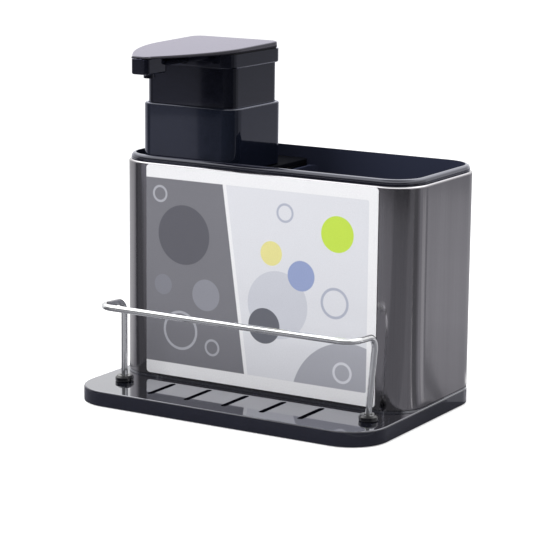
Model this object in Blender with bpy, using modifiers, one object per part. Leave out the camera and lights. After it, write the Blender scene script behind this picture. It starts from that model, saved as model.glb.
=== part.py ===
"""Soap dispenser with a brush holder and a sponge rail, as separate parts. Metres, +Z up, front at -Y."""

import math
from collections import namedtuple

import bmesh
import bpy
from mathutils import Matrix

MM = 0.001

# Fits that many parts share
GAP = 0.3 * MM
CORNER_STEPS = 8
TURN_STEPS = 32

# Base tray
BASE_WIDTH = 180.0 * MM
BASE_DEPTH = 128.0 * MM
BASE_CORNER = 21.0 * MM
BASE_WALL = 2.4 * MM
BASE_DECK = 2.4 * MM
BASE_CLEAR = 0.3 * MM
BASE_HEIGHT = 8.0 * MM
BASE_ROUNDING = 0.9 * MM
PLINTH_RISE = 0.7 * MM
RIB_THICKNESS = 1.6 * MM
RIB_HEIGHT = 3.6 * MM
SLOT_COUNT = 5
SLOT_MARGIN = 44.4 * MM
SLOT_WIDTH = 3.2 * MM
SLOT_LENGTH = 25.0 * MM
SLOT_SETBACK = 10.0 * MM

# Foot pads
FOOT_RADIUS = 6.5 * MM
FOOT_HEIGHT = 1.8 * MM
FOOT_INSET_X = 17.0 * MM
FOOT_INSET_Y = 14.0 * MM
FOOT_SEAT_WALL = 1.0 * MM

# Screws that hold the housing and the sleeve to the base
SCREW_RADIUS = 1.5 * MM
SCREW_LENGTH = 10.4 * MM
SCREW_HEAD_RADIUS = 3.0 * MM
SCREW_HEAD_HEIGHT = 1.7 * MM
SCREW_INSET = 13.0 * MM
SCREW_BACK_INSET = 27.0 * MM
BOSS_RADIUS = 4.0 * MM

# Steel sleeve
SLEEVE_INSET = 0.6 * MM
SLEEVE_SETBACK = 43.5 * MM
SLEEVE_CORNER = 19.2 * MM
SLEEVE_SHEET = 0.6 * MM
SLEEVE_HEIGHT = 115.6 * MM
SLEEVE_ROUNDING = 1.2 * MM
SLEEVE_LIP = 1.7 * MM

# Inner housing with its rim, the tank's well and the brush compartment
HOUSING_WALL = 1.8 * MM
HOUSING_LEG = 8.3 * MM
HOUSING_FLOOR = 2.2 * MM
RIM_INSET = 1.2 * MM
RIM_HEIGHT = 3.1 * MM
RIM_ROUNDING = 2.0 * MM
DIVIDER_OFFSET = 13.4 * MM
DIVIDER_THICKNESS = 2.0 * MM
DIVIDER_DROP = 10.0 * MM
WELL_CORNER = 4.0 * MM
DRAIN_COUNT = 5
DRAIN_MARGIN = 17.0 * MM
DRAIN_WIDTH = 3.0 * MM
DRAIN_LENGTH = 44.0 * MM

# Card on the sleeve's front
CARD_LEFT = 1.4 * MM
CARD_RIGHT = -1.0 * MM
CARD_LIFT = 1.0 * MM
CARD_THICKNESS = 0.4 * MM
CARD_HEIGHT = 113.9 * MM
CARD_CORNER = 2.0 * MM

# Sponge rail
RAIL_RADIUS = 1.7 * MM
RAIL_LEFT_INSET = 17.9 * MM
RAIL_RIGHT_INSET = 13.5 * MM
RAIL_LEAN = 3.0 * MM
RAIL_FRONT_INSET = 2.0 * MM
RAIL_REACH = 24.5 * MM
RAIL_RISE = 45.4 * MM
RAIL_DROP = 1.5 * MM
RAIL_CORNER = 9.0 * MM
RAIL_BEND = 6.0 * MM
RAIL_FOOT = 6.2 * MM
RAIL_BEND_STEPS = 7
RAIL_BOSS_RADIUS = 5.0 * MM
RAIL_BOSS_HEIGHT = 3.0 * MM
RAIL_NUT_RADIUS = 4.5 * MM
RAIL_NUT_HEIGHT = 2.8 * MM

# Soap tank and its lid
TANK_CLEARANCE = 0.6 * MM
TANK_WALL = 1.6 * MM
TANK_HEIGHT = 99.2 * MM
LID_THICKNESS = 2.4 * MM
LID_SKIRT = 4.5 * MM
LID_SKIRT_WALL = 1.4 * MM
MOUTH_RADIUS = 17.0 * MM
NECK_WALL = 2.2 * MM
NECK_HEIGHT = 2.5 * MM
GASKET_HEIGHT = 1.2 * MM

# Pump collar
PUMP_INSET = 32.75 * MM
COLLAR_WIDTH = 59.5 * MM
COLLAR_DEPTH = 51.6 * MM
COLLAR_CORNER = 8.0 * MM
COLLAR_HEIGHT = 33.6 * MM
COLLAR_WALL = 1.8 * MM
COLLAR_DECK = 3.0 * MM
COLLAR_ROUNDING = 0.8 * MM
PLUG_WALL = 1.6 * MM
PLUG_DEPTH = 8.4 * MM

# Pump cylinder and its fastening
BORE_RADIUS = 6.3 * MM
CYLINDER_WALL = 1.2 * MM
CYLINDER_LENGTH = 43.9 * MM
FLANGE_RADIUS = 12.0 * MM
FLANGE_HEIGHT = 1.3 * MM
NUT_HEIGHT = 4.6 * MM
NUT_RADIUS = 11.5 * MM
CAP_RADIUS = 10.0 * MM
CAP_HEIGHT = 6.0 * MM
CAP_SLEEVE = 5.0 * MM
CHAMBER_RADIUS = 3.4 * MM
CHAMBER_HEIGHT = 5.0 * MM
SEAT_RADIUS = 1.8 * MM
SEAT_HEIGHT = 2.4 * MM
THROAT_HEIGHT = 1.2 * MM
SOCKET_DEPTH = 9.4 * MM
SOCKET_WALL = 1.9 * MM
BALL_RADIUS = 2.5 * MM
TUBE_RADIUS = 3.0 * MM
TUBE_WALL = 0.8 * MM
TUBE_FLOOR_GAP = 2.5 * MM

# Stem, piston and spring
STEM_RADIUS = 3.5 * MM
STEM_WALL = 1.4 * MM
STEM_FOOT_RADIUS = 5.5 * MM
STEM_FOOT_HEIGHT = 1.6 * MM
STEM_LENGTH = 55.0 * MM
PISTON_CLEARANCE = 0.2 * MM
PISTON_HEIGHT = 10.3 * MM
PISTON_WAIST = 1.0 * MM
PISTON_LIP = 2.0 * MM
SPRING_RADIUS = 4.5 * MM
SPRING_WIRE = 0.45 * MM
SPRING_TURNS = 7
SPRING_STEPS = 12

# Pump head
SKIRT_CLEARANCE = 0.4 * MM
SKIRT_WALL = 1.6 * MM
SKIRT_SHOWN = 20.9 * MM
SKIRT_OVERLAP = 6.0 * MM
SLAB_HEIGHT = 7.4 * MM
SLAB_TOP = 3.1 * MM
SLAB_SIDE = 0.9 * MM
SLAB_BACK = 2.5 * MM
SLAB_FRONT = 3.8 * MM
SLAB_ROUNDING = 0.7 * MM
HEAD_BOSS_WALL = 1.7 * MM
HEAD_BOSS_LENGTH = 24.0 * MM
CHANNEL_RADIUS = 1.4 * MM
CHANNEL_DROP = 3.3 * MM
DUCT_RADIUS = 3.2 * MM
PEG_RADIUS = 1.5 * MM
PEG_LENGTH = 1.6 * MM
PEG_X = 18.0 * MM
PEG_Y = 13.0 * MM

# Top plate, measured from the pump's axis to the nose over the spout
PLATE_THICKNESS = 3.2 * MM
PLATE_FALL = 2.0 * MM
PLATE_ROUNDING = 0.8 * MM
PLATE_HALF_WIDTH = 27.2 * MM
PLATE_CORNER = 6.0 * MM
PLATE_REACH = 70.1 * MM
NOSE_HALF_WIDTH = 5.6 * MM
NOSE_CORNER = 2.4 * MM
TAPER_START = 13.2 * MM
TAPER_LENGTH = 58.5 * MM
TAPER_POWER = 1.7
TAPER_FALL_OFF = 0.8
TAPER_STEPS = 12

# Spout tip, its nozzle and the tube that feeds it
TIP_LENGTH = 18.5 * MM
TIP_HALF_WIDTH = 5.4 * MM
TIP_CORNER = 2.2 * MM
TIP_DROP = 0.5 * MM
TIP_ROUNDING = 0.8 * MM
TIP_SOCKET = 4.3 * MM
NOZZLE_RADIUS = 3.0 * MM
NOZZLE_DROP = 2.4 * MM
NOZZLE_SETBACK = 9.5 * MM
OUTLET_RADIUS = 1.8 * MM
SPOUT_TUBE_RADIUS = 2.2 * MM
SPOUT_TUBE_WALL = 0.8 * MM

# Heights that follow from the sizes above, from the table up
DECK_TOP = BASE_CLEAR + BASE_HEIGHT
DECK_UNDERSIDE = DECK_TOP - BASE_DECK
PLINTH_TOP = DECK_TOP + PLINTH_RISE
SLEEVE_BOTTOM = PLINTH_TOP + GAP
SLEEVE_TOP = SLEEVE_BOTTOM + SLEEVE_HEIGHT
RIM_BOTTOM = SLEEVE_TOP + GAP
RIM_TOP = RIM_BOTTOM + RIM_HEIGHT
FLOOR_UNDERSIDE = SLEEVE_BOTTOM + HOUSING_LEG
FLOOR_TOP = FLOOR_UNDERSIDE + HOUSING_FLOOR
TANK_BOTTOM = FLOOR_TOP + GAP
TANK_TOP = TANK_BOTTOM + TANK_HEIGHT
LID_BOTTOM = TANK_TOP + GAP
LID_TOP = LID_BOTTOM + LID_THICKNESS
NECK_TOP = LID_TOP + NECK_HEIGHT
GASKET_BOTTOM = NECK_TOP + GAP
COLLAR_DECK_BOTTOM = GASKET_BOTTOM + GASKET_HEIGHT + GAP
COLLAR_DECK_TOP = COLLAR_DECK_BOTTOM + COLLAR_DECK
COLLAR_BOTTOM = LID_TOP + 2 * GAP
COLLAR_TOP = COLLAR_BOTTOM + COLLAR_HEIGHT
FLANGE_BOTTOM = COLLAR_DECK_TOP + GAP
FLANGE_TOP = FLANGE_BOTTOM + FLANGE_HEIGHT
SPRING_SEAT = FLANGE_BOTTOM - CYLINDER_LENGTH
CAP_BOTTOM = FLANGE_TOP + GAP
PISTON_TOP = CAP_BOTTOM - CAP_SLEEVE - GAP
PISTON_BOTTOM = PISTON_TOP - PISTON_HEIGHT
STEM_FOOT_TOP = PISTON_BOTTOM - GAP
STEM_BOTTOM = STEM_FOOT_TOP - STEM_FOOT_HEIGHT
STEM_TOP = STEM_BOTTOM + STEM_LENGTH
SLAB_BOTTOM = COLLAR_TOP + SKIRT_SHOWN
SLAB_UPPER = SLAB_BOTTOM + SLAB_HEIGHT
PLATE_BOTTOM = SLAB_UPPER + GAP
CHANNEL_HEIGHT = SLAB_UPPER - CHANNEL_DROP
TIP_BOTTOM = SLAB_BOTTOM - TIP_DROP

# Outlines seen from above: x0, x1, y0, y1 and the radii of the corners
Outline = namedtuple("Outline", "x0 x1 y0 y1 front_left front_right back_right back_left")
SMALLEST_RADIUS = 0.4 * MM


def outline(x0, x1, y0, y1, radius):
    """A rounded rectangle with one radius."""
    return Outline(x0, x1, y0, y1, radius, radius, radius, radius)


def inset(shape, distance):
    """The same outline drawn in on every side."""
    radii = [max(r - distance, SMALLEST_RADIUS) for r in shape[4:]]
    return Outline(shape.x0 + distance, shape.x1 - distance,
                   shape.y0 + distance, shape.y1 - distance, *radii)


BASE = outline(-BASE_WIDTH / 2, BASE_WIDTH / 2, -BASE_DEPTH / 2, BASE_DEPTH / 2, BASE_CORNER)
SLEEVE = outline(BASE.x0 + SLEEVE_INSET, BASE.x1 - SLEEVE_INSET,
                 BASE.y0 + SLEEVE_SETBACK, BASE.y1 - SLEEVE_INSET, SLEEVE_CORNER)
HOUSING = inset(SLEEVE, SLEEVE_LIP + GAP)
CAVITY = inset(HOUSING, HOUSING_WALL)
WELL = CAVITY._replace(x1=-DIVIDER_OFFSET - DIVIDER_THICKNESS / 2,
                       front_right=WELL_CORNER, back_right=WELL_CORNER)
COMPARTMENT = CAVITY._replace(x0=-DIVIDER_OFFSET + DIVIDER_THICKNESS / 2,
                              front_left=WELL_CORNER, back_left=WELL_CORNER)
TANK = inset(WELL, TANK_CLEARANCE)
PUMP_X = WELL.x1 - PUMP_INSET
PUMP_Y = CAVITY.y0 + TANK_CLEARANCE + COLLAR_DEPTH / 2
COLLAR = outline(-COLLAR_WIDTH / 2, COLLAR_WIDTH / 2, -COLLAR_DEPTH / 2, COLLAR_DEPTH / 2, COLLAR_CORNER)
SKIRT = inset(COLLAR, COLLAR_WALL + SKIRT_CLEARANCE)
SLAB = outline(SKIRT.x0 - SLAB_SIDE, SKIRT.x1 + SLAB_SIDE,
               SKIRT.y0 - SLAB_FRONT, SKIRT.y1 + SLAB_BACK, SKIRT.front_left + SLAB_SIDE)
SCREW_PLACES = [(x, y) for x in (SLEEVE.x0 + SCREW_INSET, SLEEVE.x1 - SCREW_INSET)
                for y in (SLEEVE.y0 + SCREW_INSET, SLEEVE.y1 - SCREW_BACK_INSET)]
FOOT_PLACES = [(x, y) for x in (BASE.x0 + FOOT_INSET_X, BASE.x1 - FOOT_INSET_X)
               for y in (BASE.y0 + FOOT_INSET_Y, BASE.y1 - FOOT_INSET_Y)]
RAIL_LEFT = BASE.x0 + RAIL_LEFT_INSET
RAIL_RIGHT = BASE.x1 - RAIL_RIGHT_INSET
RAIL_FRONT = BASE.y0 + RAIL_FRONT_INSET
RAIL_POST_Y = RAIL_FRONT + RAIL_REACH
RAIL_HOLE = RAIL_RADIUS + GAP

PARTS_NAME = "soap_dispenser"
TOOLS_NAME = "cutters"


def clear_scene():
    """Start from an empty file."""
    for item in list(bpy.data.objects):
        bpy.data.objects.remove(item, do_unlink=True)
    for group in list(bpy.data.collections):
        bpy.data.collections.remove(group)


def collection(name):
    """A new collection under the scene."""
    group = bpy.data.collections.new(name)
    bpy.context.scene.collection.children.link(group)
    return group


def material(name, colour, roughness, metallic=0.0):
    """A plain Principled material."""
    made = bpy.data.materials.new(name)
    made.use_nodes = True
    shader = made.node_tree.nodes["Principled BSDF"]
    shader.inputs["Base Color"].default_value = (*colour, 1.0)
    shader.inputs["Roughness"].default_value = roughness
    shader.inputs["Metallic"].default_value = metallic
    made.diffuse_color = (*colour, 1.0)
    return made


def add_object(name, mesh, place, finish=None):
    """Put a mesh in the parts, or in the cutters when it has no finish."""
    item = bpy.data.objects.new(name, mesh)
    item.location = place
    if finish is None:
        bpy.data.collections[TOOLS_NAME].objects.link(item)
        item.hide_render = True
        item.display_type = "WIRE"
    else:
        bpy.data.collections[PARTS_NAME].objects.link(item)
        mesh.materials.append(finish)
        mesh.shade_smooth()
        mesh.set_sharp_from_angle(angle=math.radians(35))
    return item


def arc(cx, cy, radius, start, end, steps):
    """Points round an arc, in degrees, both ends in."""
    angles = [math.radians(start + (end - start) * i / steps) for i in range(steps + 1)]
    return [(cx + radius * math.cos(a), cy + radius * math.sin(a)) for a in angles]


def rounded(shape):
    """Points round an outline, against the clock."""
    s = shape
    points = arc(s.x0 + s.front_left, s.y0 + s.front_left, s.front_left, 180, 270, CORNER_STEPS)
    points += arc(s.x1 - s.front_right, s.y0 + s.front_right, s.front_right, 270, 360, CORNER_STEPS)
    points += arc(s.x1 - s.back_right, s.y1 - s.back_right, s.back_right, 0, 90, CORNER_STEPS)
    points += arc(s.x0 + s.back_left, s.y1 - s.back_left, s.back_left, 90, 180, CORNER_STEPS)
    return points


def mesh_of(item):
    """Turn a curve object into a welded mesh and drop the curve."""
    bpy.context.view_layer.update()
    evaluated = item.evaluated_get(bpy.context.evaluated_depsgraph_get())
    mesh = bpy.data.meshes.new_from_object(evaluated)
    mesh.transform(item.matrix_world)
    bpy.data.objects.remove(item, do_unlink=True)
    shape = bmesh.new()
    shape.from_mesh(mesh)
    bmesh.ops.remove_doubles(shape, verts=shape.verts, dist=1e-6)
    bmesh.ops.dissolve_limit(shape, angle_limit=math.radians(0.5), verts=shape.verts, edges=shape.edges)
    bmesh.ops.recalc_face_normals(shape, faces=shape.faces)
    shape.to_mesh(mesh)
    shape.free()
    return mesh


def extruded(name, loops, height):
    """A mesh that stands on z = 0, from one outer loop of points and any holes."""
    curve = bpy.data.curves.new(name, "CURVE")
    curve.dimensions = "2D"
    curve.fill_mode = "BOTH"
    curve.extrude = height / 2
    for loop in loops:
        spline = curve.splines.new("POLY")
        spline.points.add(len(loop) - 1)
        for point, (x, y) in zip(spline.points, loop):
            point.co = (x, y, 0.0, 1.0)
        spline.use_cyclic_u = True
    item = bpy.data.objects.new(name, curve)
    item.location = (0.0, 0.0, height / 2)
    bpy.context.scene.collection.objects.link(item)
    return mesh_of(item)


def slab_piece(name, loops, bottom, top, finish=None, at=(0.0, 0.0)):
    """A flat outline between two heights, as a part or a cutter."""
    mesh = extruded(name, loops, top - bottom)
    return add_object(name, mesh, (at[0], at[1], bottom), finish)


def cylinder(name, radius, bottom, top, at, finish=None, steps=TURN_STEPS):
    """An upright cylinder between two heights."""
    shape = bmesh.new()
    bmesh.ops.create_cone(shape, cap_ends=True, segments=steps, radius1=radius, radius2=radius,
                          depth=top - bottom, matrix=Matrix.Translation((0.0, 0.0, (top - bottom) / 2)))
    mesh = bpy.data.meshes.new(name)
    shape.to_mesh(mesh)
    shape.free()
    return add_object(name, mesh, (at[0], at[1], bottom), finish)


def lying_cylinder(name, radius, x, z, y0, y1, steps=16):
    """A cutter along Y."""
    shape = bmesh.new()
    bmesh.ops.create_cone(shape, cap_ends=True, segments=steps, radius1=radius, radius2=radius,
                          depth=y1 - y0, matrix=Matrix.Rotation(math.radians(90), 4, "X"))
    mesh = bpy.data.meshes.new(name)
    shape.to_mesh(mesh)
    shape.free()
    return add_object(name, mesh, (x, (y0 + y1) / 2, z))


def box(name, x0, x1, y0, y1, z0, z1):
    """A block used as a cutter or as a rib to join."""
    shape = bmesh.new()
    bmesh.ops.create_cube(shape, size=1.0, matrix=Matrix.Diagonal((x1 - x0, y1 - y0, z1 - z0, 1.0)))
    mesh = bpy.data.meshes.new(name)
    shape.to_mesh(mesh)
    shape.free()
    return add_object(name, mesh, ((x0 + x1) / 2, (y0 + y1) / 2, (z0 + z1) / 2))


def turned(name, profile, at, finish=None, ring=True, steps=TURN_STEPS):
    """A turned part: the profile runs down its outer side and, for a ring, back up its bore."""
    base = min(z for _, z in profile)
    mesh = bpy.data.meshes.new(name)
    shape = bmesh.new()
    points = [shape.verts.new((r, 0.0, z - base)) for r, z in profile]
    pairs = list(zip(points, points[1:]))
    if ring:
        pairs.append((points[-1], points[0]))
    for start, end in pairs:
        shape.edges.new((start, end))
    shape.to_mesh(mesh)
    shape.free()
    item = add_object(name, mesh, (at[0], at[1], base), finish)
    screw = item.modifiers.new("Turn", "SCREW")
    screw.axis = "Z"
    screw.angle = math.radians(360)
    screw.steps = steps
    screw.render_steps = steps
    screw.use_merge_vertices = True
    screw.merge_threshold = 0.000001
    screw.use_smooth_shade = False
    return item


def rod(name, points, radius, finish, resolution=2):
    """A round wire along a list of points."""
    curve = bpy.data.curves.new(name, "CURVE")
    curve.dimensions = "3D"
    curve.bevel_depth = radius
    curve.bevel_resolution = resolution
    curve.use_fill_caps = True
    spline = curve.splines.new("POLY")
    spline.points.add(len(points) - 1)
    for point, place in zip(spline.points, points):
        point.co = (*place, 1.0)
    item = bpy.data.objects.new(name, curve)
    bpy.data.collections[PARTS_NAME].objects.link(item)
    curve.materials.append(finish)
    return item


def boolean(item, tool, operation):
    """Cut or join with a tool that stays hidden."""
    modifier = item.modifiers.new(tool.name, "BOOLEAN")
    modifier.operation = operation
    modifier.object = tool


def cut(item, tool):
    boolean(item, tool, "DIFFERENCE")


def join(item, tool):
    boolean(item, tool, "UNION")


def round_edges(item, width, heights, segments=2):
    """Bevel the sharp edges that lie level at the given heights above the piece's own bottom."""
    mesh = item.data
    shape = bmesh.new()
    shape.from_mesh(mesh)
    weight = shape.edges.layers.float.new("bevel_weight_edge")
    for edge in shape.edges:
        level = [abs(v.co.z - h) < 1e-6 for v in edge.verts for h in heights]
        if sum(level) == 2 and edge.calc_face_angle(0.0) > math.radians(40):
            edge[weight] = 1.0
    shape.to_mesh(mesh)
    shape.free()
    modifier = item.modifiers.new("Rounding", "BEVEL")
    modifier.limit_method = "WEIGHT"
    modifier.width = width
    modifier.segments = segments


def slot_loop(width, length):
    """A slot with round ends, along Y."""
    r = width / 2
    reach = length / 2 - r
    return arc(0.0, reach, r, 0, 180, 8) + arc(0.0, -reach, r, 180, 360, 8)


def row(count, first, last):
    """Places of a row with equal steps from its first to its last."""
    return [first + (last - first) * i / (count - 1) for i in range(count)]


def drain_places():
    """Where the brush compartment drains, in its floor and in the tray below it."""
    middle = (COMPARTMENT.y0 + COMPARTMENT.y1) / 2
    first = COMPARTMENT.x0 + DRAIN_MARGIN
    last = COMPARTMENT.x1 - DRAIN_MARGIN
    return [(x, middle) for x in row(DRAIN_COUNT, first, last)]


def build_base(finish):
    """Moulded tray: a deck with drain slots, a low plinth for the body, and a hollow underside."""
    base = slab_piece("base_tray", [rounded(BASE)], BASE_CLEAR, DECK_TOP, finish)
    round_edges(base, BASE_ROUNDING, [BASE_HEIGHT], 3)
    join(base, slab_piece("plinth", [rounded(SLEEVE)], DECK_UNDERSIDE + BASE_DECK / 2, PLINTH_TOP))
    cut(base, slab_piece("hollow", [rounded(inset(BASE, BASE_WALL))], -BASE_WALL, DECK_UNDERSIDE))
    rib_y = SLEEVE.y0 - RIB_THICKNESS
    rib_x = -DIVIDER_OFFSET - DIVIDER_THICKNESS
    embed = BASE_WALL / 2
    rib_bottom = DECK_UNDERSIDE - RIB_HEIGHT
    rib_top = DECK_UNDERSIDE + BASE_DECK / 2
    join(base, box("rib_across", BASE.x0 + embed, BASE.x1 - embed, rib_y - RIB_THICKNESS, rib_y,
                   rib_bottom, rib_top))
    join(base, box("rib_back", rib_x - RIB_THICKNESS, rib_x, rib_y - RIB_THICKNESS / 2, BASE.y1 - embed,
                   rib_bottom + GAP, rib_top - GAP))
    for i, place in enumerate(FOOT_PLACES):
        join(base, cylinder(f"foot_seat_{i}", FOOT_RADIUS + FOOT_SEAT_WALL, FOOT_HEIGHT + GAP,
                            DECK_UNDERSIDE + BASE_DECK / 3, place))
    for i, x in enumerate(row(SLOT_COUNT, BASE.x0 + SLOT_MARGIN, BASE.x1 - SLOT_MARGIN)):
        y = BASE.y0 + SLOT_SETBACK + SLOT_LENGTH / 2
        cut(base, slab_piece(f"slot_{i}", [slot_loop(SLOT_WIDTH, SLOT_LENGTH)], 0.0,
                             PLINTH_TOP + BASE_WALL, at=(x, y)))
    for i, place in enumerate(drain_places()):
        cut(base, slab_piece(f"drain_{i}", [slot_loop(DRAIN_WIDTH, DRAIN_LENGTH)], 0.0,
                             PLINTH_TOP + BASE_WALL, at=place))
    for i, place in enumerate(SCREW_PLACES):
        cut(base, cylinder(f"screw_hole_{i}", SCREW_RADIUS + GAP, 0.0, PLINTH_TOP + BASE_WALL, place,
                           steps=16))
    for i, x in enumerate((RAIL_LEFT, RAIL_RIGHT)):
        cut(base, cylinder(f"post_hole_{i}", RAIL_HOLE, 0.0, PLINTH_TOP + BASE_WALL, (x, RAIL_POST_Y),
                           steps=16))


def build_feet(finish):
    """Four rubber pads under the tray."""
    for i, place in enumerate(FOOT_PLACES):
        pad = cylinder(f"foot_pad_{i + 1}", FOOT_RADIUS, 0.0, FOOT_HEIGHT, place, finish, 24)
        round_edges(pad, FOOT_HEIGHT / 5, [0.0], 1)


def build_screws(finish):
    """Four screws from below, through the tray into the housing's bosses."""
    head_top = DECK_UNDERSIDE - GAP
    head_bottom = head_top - SCREW_HEAD_HEIGHT
    crown = SCREW_HEAD_HEIGHT / 3
    for i, place in enumerate(SCREW_PLACES):
        profile = [(0.0, head_top + SCREW_LENGTH), (SCREW_RADIUS / 2, head_top + SCREW_LENGTH),
                   (SCREW_RADIUS, head_top + SCREW_LENGTH - SCREW_RADIUS), (SCREW_RADIUS, head_top),
                   (SCREW_HEAD_RADIUS, head_top), (SCREW_HEAD_RADIUS, head_bottom + crown),
                   (SCREW_HEAD_RADIUS - crown, head_bottom), (0.0, head_bottom)]
        turned(f"base_screw_{i + 1}", profile, place, finish, ring=False, steps=16)


def build_sleeve(finish):
    """Thin stainless shell, open below, its top edge rolled inward to a narrow lip."""
    sleeve = slab_piece("steel_sleeve", [rounded(SLEEVE)], SLEEVE_BOTTOM, SLEEVE_TOP, finish)
    round_edges(sleeve, SLEEVE_ROUNDING, [SLEEVE_HEIGHT], 3)
    bottom = SLEEVE_BOTTOM - SLEEVE_ROUNDING
    inside = slab_piece("sleeve_inside", [rounded(inset(SLEEVE, SLEEVE_SHEET))], bottom,
                        SLEEVE_TOP - SLEEVE_SHEET)
    round_edges(inside, SLEEVE_ROUNDING - SLEEVE_SHEET, [SLEEVE_TOP - SLEEVE_SHEET - bottom], 3)
    cut(sleeve, inside)
    cut(sleeve, slab_piece("sleeve_mouth", [rounded(inset(SLEEVE, SLEEVE_LIP))],
                           SLEEVE_TOP - SLEEVE_LIP, SLEEVE_TOP + SLEEVE_LIP))


def build_housing(finish):
    """Moulded insert: the rim, the tank's well, the brush compartment and the screw bosses."""
    housing = slab_piece("inner_housing", [rounded(HOUSING)], SLEEVE_BOTTOM, RIM_BOTTOM + RIM_HEIGHT / 2,
                         finish)
    rim = slab_piece("rim", [rounded(inset(SLEEVE, RIM_INSET))], RIM_BOTTOM, RIM_TOP)
    round_edges(rim, RIM_ROUNDING, [RIM_HEIGHT], 4)
    join(housing, rim)
    cut(housing, slab_piece("underside", [rounded(CAVITY)], 0.0, FLOOR_UNDERSIDE))
    cut(housing, slab_piece("well", [rounded(WELL)], FLOOR_TOP, RIM_TOP + HOUSING_WALL))
    cut(housing, slab_piece("compartment", [rounded(COMPARTMENT)], FLOOR_TOP, RIM_TOP + HOUSING_WALL))
    reach = DIVIDER_THICKNESS / 2 + WELL_CORNER
    cut(housing, box("divider_top", -DIVIDER_OFFSET - reach, -DIVIDER_OFFSET + reach, CAVITY.y0, CAVITY.y1,
                     RIM_TOP - DIVIDER_DROP, RIM_TOP + HOUSING_WALL / 2))
    for i, place in enumerate(SCREW_PLACES):
        boss_top = FLOOR_TOP - HOUSING_FLOOR / 2
        join(housing, cylinder(f"boss_{i}", BOSS_RADIUS, SLEEVE_BOTTOM, boss_top, place, steps=20))
        pilot_top = DECK_UNDERSIDE + SCREW_LENGTH
        cut(housing, cylinder(f"pilot_{i}", SCREW_RADIUS + GAP, 0.0, pilot_top, place, steps=16))
    for i, place in enumerate(drain_places()):
        cut(housing, slab_piece(f"grate_{i}", [slot_loop(DRAIN_WIDTH, DRAIN_LENGTH)], FLOOR_UNDERSIDE / 2,
                                FLOOR_TOP + HOUSING_WALL, at=place))


def build_card(finish):
    """Thin printed card over the sleeve's flat front."""
    left = SLEEVE.x0 + SLEEVE_CORNER + CARD_LEFT
    right = SLEEVE.x1 - SLEEVE_CORNER - CARD_RIGHT
    shape = outline(left, right, -CARD_HEIGHT / 2, CARD_HEIGHT / 2, CARD_CORNER)
    card = slab_piece("front_card", [rounded(shape)], 0.0, CARD_THICKNESS, finish)
    card.rotation_euler = (math.radians(90), 0.0, 0.0)
    card.location = (0.0, SLEEVE.y0 - GAP, SLEEVE_BOTTOM + CARD_LIFT + CARD_HEIGHT / 2)


def rail_side(foot, lean):
    """Half of the rail's centre line: from a foot up the post, over the bend and round the front corner."""
    start = DECK_TOP + GAP + RAIL_BOSS_HEIGHT
    level = DECK_TOP + RAIL_RISE
    away = math.copysign(1.0, foot)
    side = foot + away * lean
    points = [(foot, RAIL_POST_Y, DECK_TOP - RAIL_FOOT), (foot, RAIL_POST_Y, start)]
    for y, z in arc(RAIL_POST_Y - RAIL_BEND, level - RAIL_BEND, RAIL_BEND, 0, 90, RAIL_BEND_STEPS):
        fall = RAIL_DROP * (y - RAIL_FRONT) / RAIL_REACH
        points.append((side, y, z - fall))
    for x, y in arc(0.0, RAIL_FRONT + RAIL_CORNER, RAIL_CORNER, 0, -90, RAIL_BEND_STEPS):
        fall = RAIL_DROP * (y - RAIL_FRONT) / RAIL_REACH
        points.append((side + away * (x - RAIL_CORNER), y, level - fall))
    return points


def rail_points():
    """The rail's centre line, from the left foot round to the right foot, whose post leans out."""
    return rail_side(RAIL_LEFT, 0.0) + rail_side(RAIL_RIGHT, RAIL_LEAN)[::-1]


def build_rail(rod_finish, boss_finish, nut_finish):
    """Bent rod whose feet stand in two bosses and are held by push nuts under the deck."""
    rod("sponge_rail", rail_points(), RAIL_RADIUS, rod_finish, 2)
    for side, x in (("left", RAIL_LEFT), ("right", RAIL_RIGHT)):
        boss_bottom = DECK_TOP + GAP
        boss_top = boss_bottom + RAIL_BOSS_HEIGHT
        rounding = RAIL_BOSS_HEIGHT / 3
        turned(f"rail_boss_{side}",
               [(RAIL_BOSS_RADIUS - rounding, boss_top), (RAIL_BOSS_RADIUS, boss_top - rounding),
                (RAIL_BOSS_RADIUS, boss_bottom), (RAIL_HOLE, boss_bottom), (RAIL_HOLE, boss_top)],
               (x, RAIL_POST_Y), boss_finish, steps=24)
        nut_top = DECK_UNDERSIDE - GAP
        nut_bottom = nut_top - RAIL_NUT_HEIGHT
        turned(f"rail_nut_{side}",
               [(RAIL_NUT_RADIUS, nut_top), (RAIL_NUT_RADIUS, nut_bottom), (RAIL_HOLE, nut_bottom),
                (RAIL_HOLE, nut_top)],
               (x, RAIL_POST_Y), nut_finish, steps=24)


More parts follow.
